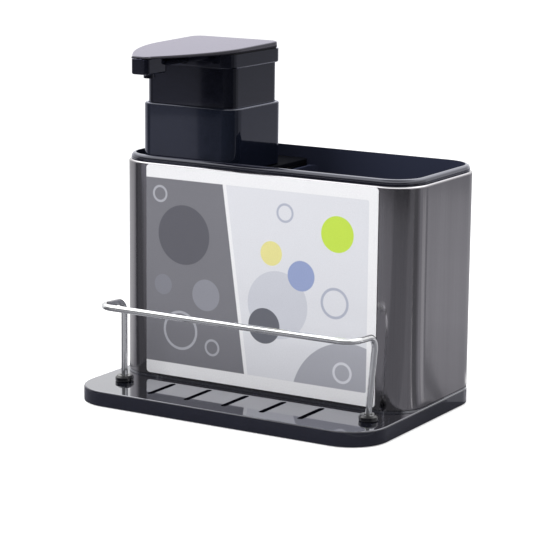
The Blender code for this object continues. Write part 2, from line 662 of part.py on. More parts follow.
def build_tank(tank_finish, lid_finish, gasket_finish):
    """Lift-out tank that fills its well, its push-in lid with the pump's mouth, and the mouth's gasket."""
    tank = slab_piece("soap_tank", [rounded(TANK)], TANK_BOTTOM, TANK_TOP, tank_finish)
    inside = inset(TANK, TANK_WALL)
    cut(tank, slab_piece("tank_inside", [rounded(inside)], TANK_BOTTOM + TANK_WALL, TANK_TOP + TANK_WALL))
    lid = slab_piece("tank_lid", [rounded(TANK)], LID_BOTTOM, LID_TOP, lid_finish)
    round_edges(lid, LID_THICKNESS / 4, [LID_THICKNESS], 2)
    plug = inset(inside, GAP)
    skirt_loops = [rounded(plug), rounded(inset(plug, LID_SKIRT_WALL))]
    join(lid, slab_piece("lid_skirt", skirt_loops, LID_BOTTOM - LID_SKIRT, LID_BOTTOM + LID_THICKNESS / 2))
    middle = (PUMP_X, PUMP_Y)
    join(lid, cylinder("neck", MOUTH_RADIUS + NECK_WALL, LID_BOTTOM + LID_THICKNESS / 2, NECK_TOP, middle))
    cut(lid, cylinder("mouth", MOUTH_RADIUS, LID_BOTTOM - LID_SKIRT, NECK_TOP + NECK_HEIGHT, middle))
    gasket_top = GASKET_BOTTOM + GASKET_HEIGHT
    turned("neck_gasket",
           [(MOUTH_RADIUS + NECK_WALL, gasket_top), (MOUTH_RADIUS + NECK_WALL, GASKET_BOTTOM),
            (MOUTH_RADIUS, GASKET_BOTTOM), (MOUTH_RADIUS, gasket_top)], middle, gasket_finish)


def build_collar(finish):
    """The pump's lower tier: a deck for the cylinder, a plug for the mouth and a guide for the head."""
    at = (PUMP_X, PUMP_Y)
    collar = slab_piece("pump_collar", [rounded(COLLAR)], COLLAR_BOTTOM, COLLAR_TOP, finish, at)
    round_edges(collar, COLLAR_ROUNDING, [COLLAR_HEIGHT], 2)
    pocket = [rounded(inset(COLLAR, COLLAR_WALL))]
    over = COLLAR_DECK
    cut(collar, slab_piece("head_pocket", pocket, COLLAR_DECK_TOP, COLLAR_TOP + over, at=at))
    cut(collar, slab_piece("lid_pocket", pocket, COLLAR_BOTTOM - over, COLLAR_DECK_BOTTOM, at=at))
    plug_radius = MOUTH_RADIUS - 2 * GAP
    plug_bottom = COLLAR_DECK_BOTTOM - PLUG_DEPTH
    join(collar, cylinder("plug", plug_radius, plug_bottom, COLLAR_DECK_BOTTOM + COLLAR_DECK / 2, at))
    cut(collar, cylinder("plug_bore", plug_radius - PLUG_WALL, plug_bottom - over, COLLAR_DECK_BOTTOM, at))
    cut(collar, cylinder("cylinder_hole", BORE_RADIUS + CYLINDER_WALL + GAP, plug_bottom,
                         COLLAR_DECK_TOP + over, at, steps=24))


def ball_height(throat_top):
    """Height of a ball's centre when it lies one gap off its conical seat."""
    slope = SEAT_HEIGHT / (CHAMBER_RADIUS - SEAT_RADIUS)
    return throat_top - slope * SEAT_RADIUS + (BALL_RADIUS + GAP) * math.hypot(1.0, slope)


def ball(name, z, at, finish):
    """A steel valve ball."""
    shape = bmesh.new()
    bmesh.ops.create_uvsphere(shape, u_segments=16, v_segments=10, radius=BALL_RADIUS)
    mesh = bpy.data.meshes.new(name)
    shape.to_mesh(mesh)
    shape.free()
    add_object(name, mesh, (at[0], at[1], z), finish)


def build_cylinder(plastic, steel):
    """Pump cylinder with its flange, retaining nut, cap, inlet ball and dip tube."""
    at = (PUMP_X, PUMP_Y)
    outer = BORE_RADIUS + CYLINDER_WALL
    chamber_bottom = SPRING_SEAT - CHAMBER_HEIGHT
    throat_top = chamber_bottom - SEAT_HEIGHT
    socket_top = throat_top - THROAT_HEIGHT
    socket_bottom = socket_top - SOCKET_DEPTH
    socket_radius = TUBE_RADIUS + GAP
    socket_outer = socket_radius + SOCKET_WALL
    turned("pump_cylinder",
           [(FLANGE_RADIUS, FLANGE_TOP), (FLANGE_RADIUS, FLANGE_BOTTOM), (outer, FLANGE_BOTTOM),
            (outer, SPRING_SEAT), (socket_outer, chamber_bottom), (socket_outer, socket_bottom),
            (socket_radius, socket_bottom), (socket_radius, socket_top), (SEAT_RADIUS, socket_top),
            (SEAT_RADIUS, throat_top), (CHAMBER_RADIUS, chamber_bottom), (CHAMBER_RADIUS, SPRING_SEAT),
            (BORE_RADIUS, SPRING_SEAT), (BORE_RADIUS, FLANGE_TOP)], at, plastic)
    nut_top = COLLAR_DECK_BOTTOM - GAP
    nut_bottom = nut_top - NUT_HEIGHT
    turned("retaining_nut",
           [(NUT_RADIUS, nut_top), (NUT_RADIUS, nut_bottom), (outer + GAP, nut_bottom),
            (outer + GAP, nut_top)], at, plastic, steps=24)
    bore = STEM_RADIUS + GAP
    sleeve = BORE_RADIUS - GAP
    cap_top = CAP_BOTTOM + CAP_HEIGHT
    turned("cylinder_cap",
           [(CAP_RADIUS - FLANGE_HEIGHT, cap_top), (CAP_RADIUS, cap_top - FLANGE_HEIGHT),
            (CAP_RADIUS, CAP_BOTTOM), (sleeve, CAP_BOTTOM), (sleeve, CAP_BOTTOM - CAP_SLEEVE),
            (bore, CAP_BOTTOM - CAP_SLEEVE), (bore, cap_top)], at, plastic, steps=24)
    tube_top = socket_top - GAP
    tube_bottom = TANK_BOTTOM + TANK_WALL + TUBE_FLOOR_GAP
    turned("dip_tube",
           [(TUBE_RADIUS, tube_top), (TUBE_RADIUS, tube_bottom), (TUBE_RADIUS - TUBE_WALL, tube_bottom),
            (TUBE_RADIUS - TUBE_WALL, tube_top)], at, plastic, steps=20)
    ball("inlet_ball", ball_height(throat_top), at, steel)


def build_stem(plastic, steel):
    """What slides in the cylinder with the head: hollow stem, piston and outlet ball, on the spring."""
    at = (PUMP_X, PUMP_Y)
    inner = STEM_RADIUS - STEM_WALL
    turned("pump_stem",
           [(STEM_RADIUS, STEM_TOP), (STEM_RADIUS, STEM_FOOT_TOP), (STEM_FOOT_RADIUS, STEM_FOOT_TOP),
            (STEM_FOOT_RADIUS, STEM_BOTTOM), (inner, STEM_BOTTOM), (inner, STEM_TOP)],
           at, plastic, steps=24)
    lip = BORE_RADIUS - PISTON_CLEARANCE
    waist = lip - PISTON_WAIST
    bore = STEM_RADIUS + GAP
    turned("piston",
           [(lip, PISTON_TOP), (lip, PISTON_TOP - PISTON_LIP),
            (waist, PISTON_TOP - PISTON_LIP - PISTON_WAIST),
            (waist, PISTON_BOTTOM + PISTON_LIP + PISTON_WAIST), (lip, PISTON_BOTTOM + PISTON_LIP),
            (lip, PISTON_BOTTOM), (bore, PISTON_BOTTOM), (bore, PISTON_TOP)], at, plastic, steps=24)
    low = SPRING_SEAT + GAP + SPRING_WIRE
    high = STEM_BOTTOM - GAP - SPRING_WIRE
    count = SPRING_TURNS * SPRING_STEPS
    turns = [2 * math.pi * i / SPRING_STEPS for i in range(count + 1)]
    coil = [(at[0] + SPRING_RADIUS * math.cos(a), at[1] + SPRING_RADIUS * math.sin(a),
             low + (high - low) * i / count) for i, a in enumerate(turns)]
    rod("pump_spring", coil, SPRING_WIRE, steel, 1)
    rest = STEM_TOP + math.sqrt((BALL_RADIUS + GAP) ** 2 - inner ** 2)
    ball("outlet_ball", rest, at, steel)


def build_head(finish):
    """The pressed head: a skirt that slides in the collar, the slab above it and the stem's socket."""
    at = (PUMP_X, PUMP_Y)
    skirt_bottom = COLLAR_TOP - SKIRT_OVERLAP
    head = slab_piece("head_body", [rounded(SLAB)], SLAB_BOTTOM, SLAB_UPPER, finish, at)
    round_edges(head, SLAB_ROUNDING, [0.0], 2)
    join(head, slab_piece("skirt", [rounded(SKIRT)], skirt_bottom, SLAB_BOTTOM + SLAB_HEIGHT / 2, at=at))
    inside = inset(SKIRT, SKIRT_WALL)
    pocket_top = SLAB_UPPER - SLAB_TOP
    cut(head, slab_piece("skirt_inside", [rounded(inside)], skirt_bottom - SKIRT_OVERLAP, pocket_top,
                         at=at))
    bore = STEM_RADIUS + GAP
    embed = SLAB_TOP / 3
    join(head, cylinder("stem_boss", bore + HEAD_BOSS_WALL, pocket_top - HEAD_BOSS_LENGTH,
                        pocket_top + embed, at, steps=24))
    front = PUMP_Y + SLAB.y0
    join(head, lying_cylinder("duct", DUCT_RADIUS, PUMP_X, CHANNEL_HEIGHT,
                              PUMP_Y + SKIRT.y0 + SKIRT_WALL / 2, PUMP_Y - bore - HEAD_BOSS_WALL / 2))
    cut(head, cylinder("stem_bore", bore, pocket_top - HEAD_BOSS_LENGTH - embed, CHANNEL_HEIGHT, at,
                       steps=24))
    cut(head, lying_cylinder("channel", CHANNEL_RADIUS, PUMP_X, CHANNEL_HEIGHT, front - GAP, PUMP_Y))
    cut(head, lying_cylinder("tube_socket", SPOUT_TUBE_RADIUS + GAP, PUMP_X, CHANNEL_HEIGHT,
                             front - SLAB_FRONT, front + TIP_SOCKET))
    for i, (x, y) in enumerate(peg_places()):
        cut(head, cylinder(f"peg_hole_{i}", PEG_RADIUS + GAP, SLAB_UPPER - PEG_LENGTH,
                           SLAB_UPPER + PEG_LENGTH, (x, y), steps=16))


def peg_places():
    """Four pegs that locate the top plate on the head."""
    return [(PUMP_X + x, PUMP_Y + y) for x in (-PEG_X, PEG_X) for y in (-PEG_Y, PEG_Y)]


def plate_loop():
    """The top plate from above: square at the back, drawn in along a bulging curve to the nose."""
    end_y = -PLATE_REACH
    right = arc(NOSE_HALF_WIDTH - NOSE_CORNER, end_y + NOSE_CORNER, NOSE_CORNER, 270, 360, 4)
    share = (NOSE_HALF_WIDTH / PLATE_HALF_WIDTH) ** (1.0 / TAPER_FALL_OFF)
    last = (1.0 - share) ** (1.0 / TAPER_POWER)
    for i in range(TAPER_STEPS + 1):
        t = last * (1.0 - i / TAPER_STEPS)
        half = PLATE_HALF_WIDTH * (1.0 - t ** TAPER_POWER) ** TAPER_FALL_OFF
        right.append((half, -TAPER_START - TAPER_LENGTH * t))
    right += arc(PLATE_HALF_WIDTH - PLATE_CORNER, SLAB.y1 - PLATE_CORNER, PLATE_CORNER, 0, 90, CORNER_STEPS)
    return right + [(-x, y) for x, y in reversed(right)]


def build_plate(finish):
    """Top plate that reaches out over the spout and thins toward its nose, with four pegs under it."""
    at = (PUMP_X, PUMP_Y)
    top = PLATE_BOTTOM + PLATE_THICKNESS
    plate = slab_piece("head_plate", [plate_loop()], PLATE_BOTTOM, top, finish, at)
    round_edges(plate, PLATE_ROUNDING, [PLATE_THICKNESS], 2)
    for point in plate.data.vertices:
        if point.co.z > PLATE_THICKNESS / 2:
            point.co.z -= PLATE_FALL * (SLAB.y1 - point.co.y) / (SLAB.y1 + PLATE_REACH)
    for i, place in enumerate(peg_places()):
        join(plate, cylinder(f"peg_{i}", PEG_RADIUS, SLAB_UPPER - PEG_LENGTH + GAP,
                             PLATE_BOTTOM + PLATE_THICKNESS / 2, place, steps=16))


def build_spout(finish, tube_finish):
    """Spout tube from the head to the tip block, and the tip with its nozzle."""
    front = PUMP_Y + SLAB.y0
    end = PUMP_Y - PLATE_REACH + GAP
    back = end + TIP_LENGTH
    shape = outline(-TIP_HALF_WIDTH, TIP_HALF_WIDTH, end - PUMP_Y, back - PUMP_Y, TIP_CORNER)
    at = (PUMP_X, PUMP_Y)
    tip = slab_piece("spout_tip", [rounded(shape)], TIP_BOTTOM, SLAB_UPPER, finish, at)
    round_edges(tip, TIP_ROUNDING, [0.0], 2)
    outlet = (PUMP_X, end + NOZZLE_SETBACK)
    join(tip, cylinder("nozzle", NOZZLE_RADIUS, TIP_BOTTOM - NOZZLE_DROP, TIP_BOTTOM + TIP_ROUNDING, outlet,
                       steps=20))
    cut(tip, cylinder("outlet", OUTLET_RADIUS, TIP_BOTTOM - 2 * NOZZLE_DROP, CHANNEL_HEIGHT, outlet,
                      steps=16))
    cut(tip, lying_cylinder("tip_channel", CHANNEL_RADIUS, PUMP_X, CHANNEL_HEIGHT, outlet[1], back + GAP))
    cut(tip, lying_cylinder("tip_socket", SPOUT_TUBE_RADIUS + GAP, PUMP_X, CHANNEL_HEIGHT,
                            back - TIP_SOCKET, back + TIP_SOCKET))
    tube_start = back - TIP_SOCKET + GAP
    tube_end = front + TIP_SOCKET - GAP
    bore = SPOUT_TUBE_RADIUS - SPOUT_TUBE_WALL
    tube = turned("spout_tube",
                  [(SPOUT_TUBE_RADIUS, tube_end - tube_start), (SPOUT_TUBE_RADIUS, 0.0), (bore, 0.0),
                   (bore, tube_end - tube_start)], (0.0, 0.0), tube_finish, steps=20)
    tube.rotation_euler = (math.radians(-90), 0.0, 0.0)
    tube.location = (PUMP_X, tube_start, CHANNEL_HEIGHT)


def build():
    """Make every part."""
    clear_scene()
    collection(PARTS_NAME)
    collection(TOOLS_NAME)
    black = material("black_plastic", (0.012, 0.013, 0.018), 0.16)
    rubber = material("rubber", (0.02, 0.02, 0.02), 0.8)
    steel = material("brushed_steel", (0.5, 0.48, 0.47), 0.3, 1.0)
    chrome = material("chrome", (0.82, 0.82, 0.83), 0.08, 1.0)
    zinc = material("zinc", (0.6, 0.6, 0.62), 0.35, 1.0)
    card = material("card", (0.75, 0.75, 0.78), 0.55)
    clear_plastic = material("natural_plastic", (0.8, 0.8, 0.78), 0.35)
    build_base(black)
    build_feet(rubber)
    build_screws(zinc)
    build_sleeve(steel)
    build_housing(black)
    build_card(card)
    build_rail(chrome, black, zinc)
    build_tank(clear_plastic, black, rubber)
    build_collar(black)
    build_cylinder(clear_plastic, zinc)
    build_stem(clear_plastic, zinc)
    build_head(black)
    build_plate(black)
    build_spout(black, clear_plastic)


build()
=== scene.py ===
"""Kitchen soap dispenser with a brush holder and a sponge rail: its finishes, its finer shapes and its studio."""

import math
import bmesh
import bpy
from mathutils import Matrix, Vector


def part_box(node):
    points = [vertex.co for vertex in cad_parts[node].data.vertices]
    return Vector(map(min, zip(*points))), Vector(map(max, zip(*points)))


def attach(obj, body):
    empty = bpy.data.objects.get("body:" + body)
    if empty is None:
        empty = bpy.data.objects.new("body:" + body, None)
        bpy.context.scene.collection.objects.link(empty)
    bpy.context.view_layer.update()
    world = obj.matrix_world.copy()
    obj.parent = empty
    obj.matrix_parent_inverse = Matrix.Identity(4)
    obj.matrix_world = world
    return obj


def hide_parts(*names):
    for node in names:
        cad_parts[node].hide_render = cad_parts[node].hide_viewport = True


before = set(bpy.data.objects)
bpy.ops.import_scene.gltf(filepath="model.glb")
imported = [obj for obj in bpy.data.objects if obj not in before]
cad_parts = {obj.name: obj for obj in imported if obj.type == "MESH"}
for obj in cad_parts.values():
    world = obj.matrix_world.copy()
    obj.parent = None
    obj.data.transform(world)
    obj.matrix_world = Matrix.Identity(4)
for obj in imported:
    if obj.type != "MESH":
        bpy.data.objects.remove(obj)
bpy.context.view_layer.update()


# Base tray: one injection moulding in gloss black ABS, polished in the tool so that its deck mirrors what
# stands on it. Its slots drain the sponge deck, and ribs, screw holes and foot seats are moulded underneath.

MM = 0.001


def linear(hex_colour):
    """An sRGB hex colour as the linear values that a shader takes."""
    parts = [int(hex_colour[i:i + 2], 16) / 255 for i in (1, 3, 5)]
    return tuple(c / 12.92 if c <= 0.04045 else ((c + 0.055) / 1.055) ** 2.4 for c in parts) + (1.0,)


def add(tree, kind, values=None, links=None, **settings):
    """Add one node with its settings, its values by socket, and the links into it."""
    node = tree.nodes.new(kind)
    for key, value in settings.items():
        setattr(node, key, value)
    for socket, value in (values or {}).items():
        node.inputs[socket].default_value = value
    for socket, source in (links or {}).items():
        tree.links.new(source, node.inputs[socket])
    return node


def new_material(name):
    """An empty node material and its output."""
    made = bpy.data.materials.new(name)
    made.use_nodes = True
    made.node_tree.nodes.clear()
    return made, made.node_tree, made.node_tree.nodes.new("ShaderNodeOutputMaterial")


def moulded_abs(name, colour, deep_colour, roughness, coat=1.0, ripple=0.02, film="#ffffff", index=1.36):
    """Gloss black ABS under a polished skin. A faint flow ripple bends its reflections, haze varies its gloss. The
    film colour tints what shows through the skin: a painted pale blue to lavender cast on its reflections.
    """
    made, tree, output = new_material(name)
    place = add(tree, "ShaderNodeTexCoord").outputs["Object"]
    # Flow ripple about 14 mm long, a few microns deep
    ripples = add(tree, "ShaderNodeTexNoise", {"Scale": 70.0, "Detail": 1.0}, {"Vector": place})
    # Polishing haze in patches of about 5 mm and dust specks of about 0.5 mm
    haze = add(tree, "ShaderNodeTexNoise", {"Scale": 210.0, "Detail": 4.0, "Roughness": 0.6}, {"Vector": place})
    specks = add(tree, "ShaderNodeTexVoronoi", {"Scale": 420.0, "Randomness": 1.0}, {"Vector": place})
    dust = add(tree, "ShaderNodeMapRange", {"From Min": 0.0, "From Max": 0.1, "To Min": 0.16, "To Max": 0.0},
               {"Value": specks.outputs["Distance"]})
    gloss = add(tree, "ShaderNodeMapRange",
                {"From Min": 0.35, "From Max": 0.7, "To Min": roughness, "To Max": roughness + 0.05},
                {"Value": haze.outputs["Fac"]})
    rough = add(tree, "ShaderNodeMath", links={0: gloss.outputs["Result"], 1: dust.outputs["Result"]},
                operation="ADD")
    tint = add(tree, "ShaderNodeMix", {"A": linear(deep_colour), "B": linear(colour)},
               {"Factor": haze.outputs["Fac"]}, data_type="RGBA")
    bump = add(tree, "ShaderNodeBump", {"Strength": 1.0, "Distance": ripple * MM},
               {"Height": ripples.outputs["Fac"]})
    shader = add(tree, "ShaderNodeBsdfPrincipled",
                 {"IOR": index, "Coat Weight": coat, "Coat IOR": 1.36, "Coat Roughness": 0.03,
                  "Coat Tint": linear(film)},
                 {"Base Color": tint.outputs["Result"], "Roughness": rough.outputs["Value"],
                  "Normal": bump.outputs["Normal"]})
    tree.links.new(shader.outputs["BSDF"], output.inputs["Surface"])
    return made


def softened(node, name, edge, material, body, slot, highest=1.0):
    """A piece with a CAD node's shape, welded, its sharp edges below a height broken by the mould's radius."""
    shape = bmesh.new()
    shape.from_mesh(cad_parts[node].data)
    # The CAD's loose triangles are joined to flat faces, and corners sharper than 50 degrees are broken
    bmesh.ops.remove_doubles(shape, verts=shape.verts, dist=1e-6)
    bmesh.ops.dissolve_limit(shape, angle_limit=math.radians(0.3), verts=shape.verts, edges=shape.edges)
    if edge > 0.0:
        sharp = [e for e in shape.edges if e.is_manifold and e.calc_face_angle(0.0) > math.radians(50)
                 and max(v.co.z for v in e.verts) < highest]
        bmesh.ops.bevel(shape, geom=sharp, offset=edge, offset_type="OFFSET", segments=2, profile=0.5,
                        affect="EDGES", clamp_overlap=True, material=-1)
    return finished(shape, name, material, body, slot, node)


def finished(shape, name, material, body, slot, *nodes):
    """Turn a bmesh into a piece with its finish, on its body, in place of the CAD nodes."""
    for face in shape.faces:
        face.smooth = True
    mesh = bpy.data.meshes.new(name)
    shape.to_mesh(mesh)
    shape.free()
    mesh.set_sharp_from_angle(angle=math.radians(38))
    mesh.materials.append(material)
    piece = bpy.data.objects.new(name, mesh)
    bpy.context.scene.collection.objects.link(piece)
    weighted = piece.modifiers.new("Even shading", "WEIGHTED_NORMAL")
    weighted.keep_sharp = True
    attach(piece, body)
    if nodes:
        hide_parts(*nodes)
    return piece


deck_abs = moulded_abs("tray_polished_abs", "#1b1c25", "#16171f", 0.04, ripple=0.012, film="#f4f5ff")
tree = deck_abs.node_tree
place = add(tree, "ShaderNodeTexCoord").outputs["Object"]
height = add(tree, "ShaderNodeSeparateXYZ", links={"Vector": place}).outputs["Z"]
# The deck from 8 mm up is flame polished, so it mirrors more strongly than the walls
skin = add(tree, "ShaderNodeMapRange",
           {"From Min": 8.0 * MM, "From Max": 8.25 * MM, "To Min": 1.36, "To Max": 2.1},
           {"Value": height}).outputs["Result"]
for socket in ("IOR", "Coat IOR"):
    tree.links.new(skin, tree.nodes["Principled BSDF"].inputs[socket])
softened("base_tray", "tray_moulding", 0.25 * MM, deck_abs, "stand", "black_plastic")


# Foot pads: four die-cut discs of black rubber glued under the tray. Matt, with a fine sanded grain and a
# little dust, and the only things that touch the worktop.

rubber, tree, output = new_material("foot_die_cut_rubber")
place = add(tree, "ShaderNodeTexCoord").outputs["Object"]
# Sanded grain of 0.3 mm
grain = add(tree, "ShaderNodeTexNoise", {"Scale": 3300.0, "Detail": 2.0}, {"Vector": place})
worn = add(tree, "ShaderNodeTexNoise", {"Scale": 400.0, "Detail": 3.0}, {"Vector": place})
tint = add(tree, "ShaderNodeMix", {"A": linear("#18181a"), "B": linear("#2b2b2d")},
           {"Factor": worn.outputs["Fac"]}, data_type="RGBA")
bump = add(tree, "ShaderNodeBump", {"Strength": 0.6, "Distance": 0.05 * MM}, {"Height": grain.outputs["Fac"]})
shader = add(tree, "ShaderNodeBsdfPrincipled", {"Roughness": 0.78, "IOR": 1.52},
             {"Base Color": tint.outputs["Result"], "Normal": bump.outputs["Normal"]})
tree.links.new(shader.outputs["BSDF"], output.inputs["Surface"])
for number in range(1, 5):
    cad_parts[f"foot_pad_{number}"].material_slots[0].material = rubber


# Screws: four pan-head screws in zinc-plated steel, driven up through the tray into the housing's bosses.
# The plating is satin, a little blue, with fine turning marks.

zinc, tree, output = new_material("screw_zinc_plate")
place = add(tree, "ShaderNodeTexCoord").outputs["Object"]
# Turning marks, drawn 0.5 mm apart up the part so that they show
marks = add(tree, "ShaderNodeTexWave", {"Scale": 640.0, "Distortion": 1.0, "Detail": 1.0}, {"Vector": place},
            bands_direction="Z")
blotch = add(tree, "ShaderNodeTexNoise", {"Scale": 500.0, "Detail": 3.0}, {"Vector": place})
tint = add(tree, "ShaderNodeMix", {"A": linear("#b3b7bd"), "B": linear("#cfd1d3")},
           {"Factor": blotch.outputs["Fac"]}, data_type="RGBA")
rough = add(tree, "ShaderNodeMapRange", {"To Min": 0.28, "To Max": 0.42}, {"Value": blotch.outputs["Fac"]})
bump = add(tree, "ShaderNodeBump", {"Strength": 0.25, "Distance": 0.01 * MM}, {"Height": marks.outputs["Fac"]})
shader = add(tree, "ShaderNodeBsdfPrincipled", {"Metallic": 1.0},
             {"Base Color": tint.outputs["Result"], "Roughness": rough.outputs["Result"],
              "Normal": bump.outputs["Normal"]})
tree.links.new(shader.outputs["BSDF"], output.inputs["Surface"])
for number in range(1, 5):
    softened(f"base_screw_{number}", f"screw_turned_{number}", 0.12 * MM, zinc, "stand", "zinc")


# Body shell: a sheet of dark stainless steel 0.6 mm thick, bent round the body. Its grain is brushed upright
# and then buffed, so it mirrors softly in long upright stripes, and its top edge is rolled in to a narrow lip.

def block(low, high, radii, steps):
    """A box whose four upright edges are rounded: front left, front right, back right, back left."""
    shape = bmesh.new()
    bmesh.ops.create_cube(shape, size=1.0)
    size = Vector(high) - Vector(low)
    middle = (Vector(high) + Vector(low)) / 2
    bmesh.ops.scale(shape, vec=size, verts=shape.verts)
    bmesh.ops.translate(shape, vec=middle, verts=shape.verts)
    corners = [(low[0], low[1]), (high[0], low[1]), (high[0], high[1]), (low[0], high[1])]
    for (x, y), radius in zip(corners, radii):
        upright = [e for e in shape.edges
                   if all(math.hypot(v.co.x - x, v.co.y - y) < 1e-6 for v in e.verts)]
        bmesh.ops.bevel(shape, geom=upright, offset=radius, offset_type="OFFSET", segments=steps, profile=0.5,
                        affect="EDGES", clamp_overlap=False, material=-1)
    return shape


def level_edges(shape, height):
    """The edges that lie level at a height."""
    return [e for e in shape.edges if all(abs(v.co.z - height) < 1e-6 for v in e.verts)]


steel, tree, output = new_material("shell_brushed_stainless")
place = add(tree, "ShaderNodeTexCoord").outputs["Object"]
# The real grain is 0.1 mm wide: drawn 0.5 mm wide and 90 mm long so that it shows
grain_map = add(tree, "ShaderNodeMapping", {"Scale": (2000.0, 2000.0, 11.0)}, {"Vector": place})
grain = add(tree, "ShaderNodeTexNoise", {"Scale": 1.0, "Detail": 3.0, "Roughness": 0.6},
            {"Vector": grain_map.outputs["Vector"]})
# Broad buffing bands about 9 mm wide
band_map = add(tree, "ShaderNodeMapping", {"Scale": (110.0, 110.0, 2.5)}, {"Vector": place})
bands = add(tree, "ShaderNodeTexNoise", {"Scale": 1.0, "Detail": 2.0}, {"Vector": band_map.outputs["Vector"]})
band_tint = add(tree, "ShaderNodeMix", {"A": linear("#8d8b8f"), "B": linear("#9d9b9f")},
                {"Factor": bands.outputs["Fac"]}, data_type="RGBA")
grain_share = add(tree, "ShaderNodeMapRange", {"From Min": 0.3, "From Max": 0.7, "To Max": 0.3},
                  {"Value": grain.outputs["Fac"]})
tint = add(tree, "ShaderNodeMix", {"B": linear("#79767a")},
           {"Factor": grain_share.outputs["Result"], "A": band_tint.outputs["Result"]}, data_type="RGBA")
# The rolled top edge is coloured lighter: a painted highlight along the lip
height = add(tree, "ShaderNodeSeparateXYZ", links={"Vector": place}).outputs["Z"]
lip_highlight = add(tree, "ShaderNodeMapRange", {"From Min": 124.1 * MM, "From Max": 124.5 * MM}, {"Value": height})
tint = add(tree, "ShaderNodeMix", {"B": linear("#c9c7ca")},
           {"Factor": lip_highlight.outputs["Result"], "A": tint.outputs["Result"]}, data_type="RGBA")
rough = add(tree, "ShaderNodeMapRange", {"From Min": 0.3, "From Max": 0.7, "To Min": 0.09, "To Max": 0.17},
            {"Value": grain.outputs["Fac"]})
bump = add(tree, "ShaderNodeBump", {"Strength": 0.35, "Distance": 0.01 * MM}, {"Height": grain.outputs["Fac"]})
shader = add(tree, "ShaderNodeBsdfPrincipled", {"Metallic": 1.0},
             {"Base Color": tint.outputs["Result"], "Roughness": rough.outputs["Result"],
              "Normal": bump.outputs["Normal"]})
tree.links.new(shader.outputs["BSDF"], output.inputs["Surface"])

sheet, shell_corner, roll_radius, lip_width = 0.6 * MM, 19.2 * MM, 1.2 * MM, 0.5 * MM
low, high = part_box("steel_sleeve")
shell = block(low, high, [shell_corner] * 4, 28)
bmesh.ops.bevel(shell, geom=level_edges(shell, high.z), offset=roll_radius, offset_type="OFFSET", segments=5,
                profile=0.5, affect="EDGES", clamp_overlap=False, material=-1)
ends = [f for f in shell.faces if len(f.verts) > 20 and abs(f.normal.z) > 0.9]
top = max(ends, key=lambda f: f.calc_center_median().z)
bottom = min(ends, key=lambda f: f.calc_center_median().z)
bmesh.ops.inset_region(shell, faces=[top], thickness=lip_width, use_even_offset=True)
bmesh.ops.delete(shell, geom=[top, bottom], context="FACES_ONLY")
bmesh.ops.recalc_face_normals(shell, faces=shell.faces)
walls = list(shell.faces)
if max(walls, key=lambda f: f.calc_center_median().x).normal.x < 0:
    bmesh.ops.reverse_faces(shell, faces=walls)
bmesh.ops.solidify(shell, geom=walls, thickness=sheet)
finished(shell, "shell_bent_sheet", steel, "stand", "brushed_steel", "steel_sleeve")


# Inner housing: a black ABS moulding pushed down into the shell. Its rim laps over the rolled edge, and inside
# it are the tank's well, the divider and the brush compartment with its slotted floor.

blur = 0.15


def panel_mask(tree, place, left, right, bottom, top, corner):
    """One inside a rounded rectangle seen along Y, nought outside, blurred to both sides. All in millimetres."""
    middle = ((left + right) / 2 * MM, 0.0, (bottom + top) / 2 * MM)
    reach = ((right - left) / 2 * MM - corner * MM, 1.0, (top - bottom) / 2 * MM - corner * MM)
    away = add(tree, "ShaderNodeVectorMath", {1: middle}, {0: place}, operation="SUBTRACT")
    folded = add(tree, "ShaderNodeVectorMath", links={0: away.outputs[0]}, operation="ABSOLUTE")
    beyond = add(tree, "ShaderNodeVectorMath", {1: reach}, {0: folded.outputs[0]}, operation="SUBTRACT")
    outside = add(tree, "ShaderNodeVectorMath", {1: (0.0, 0.0, 0.0)}, {0: beyond.outputs[0]},
                  operation="MAXIMUM")
    distance = add(tree, "ShaderNodeVectorMath", links={0: outside.outputs[0]}, operation="LENGTH")
    mask = add(tree, "ShaderNodeMapRange",
               {"From Min": (corner - blur) * MM, "From Max": (corner + blur) * MM, "To Min": 1.0, "To Max": 0.0},
               {"Value": distance.outputs["Value"]})
    return mask.outputs["Result"]


housing_abs = moulded_abs("housing_gloss_abs", "#14151d", "#101118", 0.06, ripple=0.012, film="#eceeff", index=1.5)
tree = housing_abs.node_tree
shader = tree.nodes["Principled BSDF"]
place = add(tree, "ShaderNodeTexCoord").outputs["Object"]
# Inside the body the mould was left matt, and there it is coloured a lighter blue-grey: a painted sheen in place of
# the gloss's reflections. Only the rim is polished. The mask lies flat, its height along -Y
above = add(tree, "ShaderNodeVectorRotate", {"Angle": math.radians(-90)}, {"Vector": place}, rotation_type="X_AXIS")
matt_and_painted_sheen = panel_mask(tree, above.outputs["Vector"], -85.75, 85.75, -59.75, 16.85, 15.4)
skin = shader.inputs["Base Color"].links[0].from_socket
tint = add(tree, "ShaderNodeMix", {"B": linear("#363a4c")}, {"Factor": matt_and_painted_sheen, "A": skin}, data_type="RGBA")
gloss = shader.inputs["Roughness"].links[0].from_socket
rough = add(tree, "ShaderNodeMath", {1: 0.4}, {0: matt_and_painted_sheen, 2: gloss}, operation="MULTIPLY_ADD")
level = add(tree, "ShaderNodeMapRange", {"To Min": 0.5, "To Max": 0.01}, {"Value": matt_and_painted_sheen})
coat = add(tree, "ShaderNodeMapRange", {"To Min": 1.0, "To Max": 0.0}, {"Value": matt_and_painted_sheen})
tree.links.new(tint.outputs["Result"], shader.inputs["Base Color"])
tree.links.new(rough.outputs["Value"], shader.inputs["Roughness"])
tree.links.new(level.outputs["Result"], shader.inputs["Specular IOR Level"])
tree.links.new(coat.outputs["Result"], shader.inputs["Coat Weight"])
softened("inner_housing", "housing_moulding", 0.2 * MM, housing_abs, "stand", "black_plastic")


# Card: a sheet of coated board, 0.4 mm thick, taped over the shell's flat front. Offset printed in flat colours
# with a plain pattern of drops and bubbles, and left white along its trimmed edges.

card_front = -21.2


